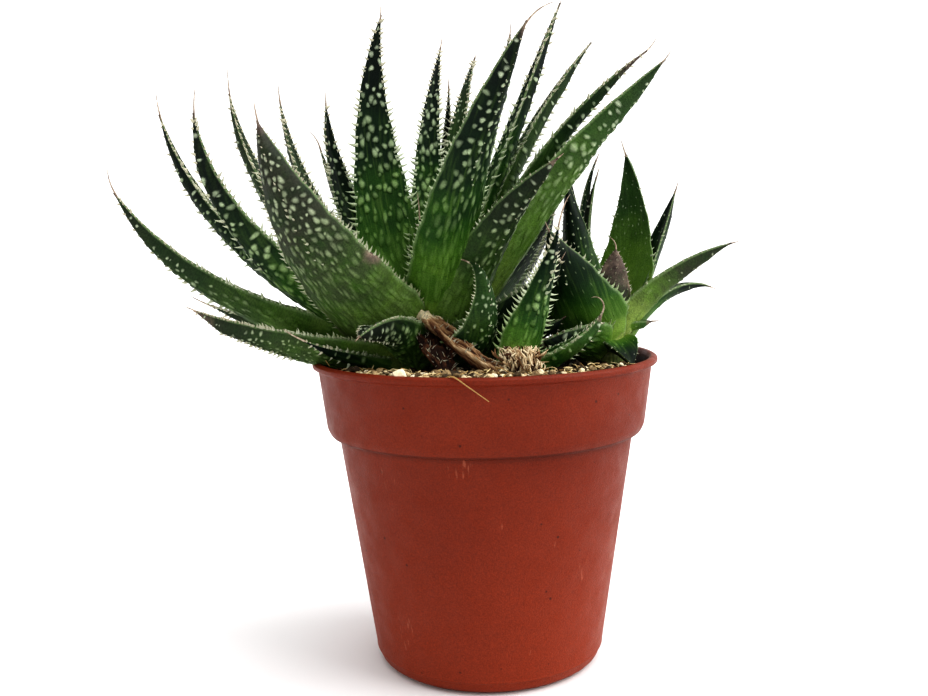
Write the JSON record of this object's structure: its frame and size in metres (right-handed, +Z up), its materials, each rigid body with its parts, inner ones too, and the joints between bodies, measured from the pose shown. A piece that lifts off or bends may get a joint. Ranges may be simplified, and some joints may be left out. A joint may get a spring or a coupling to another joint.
{
  "type": "potted aloe plant",
  "caption": "Crowded aloe rosette with toothed, spotted leaves and a young offset beside it, growing in a round terracotta-coloured plastic nursery pot filled with potting mix.",
  "frame": {"origin": "middle of the pot's foot, on the surface it stands on", "axes": "+Z up out of the pot, +X to the right towards the offset, +Y to the back, -Y to the front"},
  "size_m": [0.1842, 0.1238, 0.2021],
  "materials": {
    "terracotta_plastic": "moulded terracotta-coloured plastic, semi-matte, finely pebbled",
    "pale_stem": "pale green living tissue, satin",
    "leaf_green": "dark green living leaf with a waxy, satin skin",
    "dried_leaf": "dry, fibrous, matte",
    "potting_mix": "loose damp peat and bark crumbs with grit, matte"
  },
  "bodies": {
    "root": {"pot": "terracotta_plastic", "main_stem": "pale_stem", "offset_stem": "pale_stem", "sucker_stem": "pale_stem", "inner_leaf_01": "leaf_green", "inner_leaf_02": "leaf_green", "inner_leaf_03": "leaf_green", "inner_leaf_04": "leaf_green", "inner_leaf_05": "leaf_green", "inner_leaf_06": "leaf_green", "inner_leaf_07": "leaf_green", "middle_leaf_01": "leaf_green", "middle_leaf_02": "leaf_green", "middle_leaf_03": "leaf_green", "middle_leaf_04": "leaf_green", "middle_leaf_05": "leaf_green", "middle_leaf_06": "leaf_green", "middle_leaf_07": "leaf_green", "middle_leaf_08": "leaf_green", "middle_leaf_09": "leaf_green", "middle_leaf_10": "leaf_green", "middle_leaf_11": "leaf_green", "outer_leaf_01": "leaf_green", "outer_leaf_02": "leaf_green", "outer_leaf_03": "leaf_green", "outer_leaf_04": "leaf_green", "outer_leaf_05": "leaf_green", "outer_leaf_06": "leaf_green", "outer_leaf_07": "leaf_green", "outer_leaf_08": "leaf_green", "outer_leaf_09": "leaf_green", "outer_leaf_10": "leaf_green", "outer_leaf_11": "leaf_green", "outer_leaf_12": "leaf_green", "outer_leaf_13": "leaf_green", "heart_leaf_01": "leaf_green", "heart_leaf_02": "leaf_green", "heart_leaf_03": "leaf_green", "offset_leaf_01": "leaf_green", "offset_leaf_02": "leaf_green", "offset_leaf_03": "leaf_green", "offset_leaf_04": "leaf_green", "offset_leaf_05": "leaf_green", "offset_leaf_06": "leaf_green", "offset_leaf_07": "leaf_green", "offset_leaf_08": "leaf_green", "offset_leaf_09": "leaf_green", "offset_leaf_10": "leaf_green", "offset_leaf_11": "leaf_green", "offset_leaf_12": "leaf_green", "offset_leaf_13": "leaf_green", "offset_leaf_14": "leaf_green", "sucker_leaf_01": "leaf_green", "sucker_leaf_02": "leaf_green", "withered_leaf_01": "dried_leaf", "withered_leaf_02": "dried_leaf", "old_stalk_stub": "dried_leaf", "potting_mix": "potting_mix"}
  },
  "joints": []
}
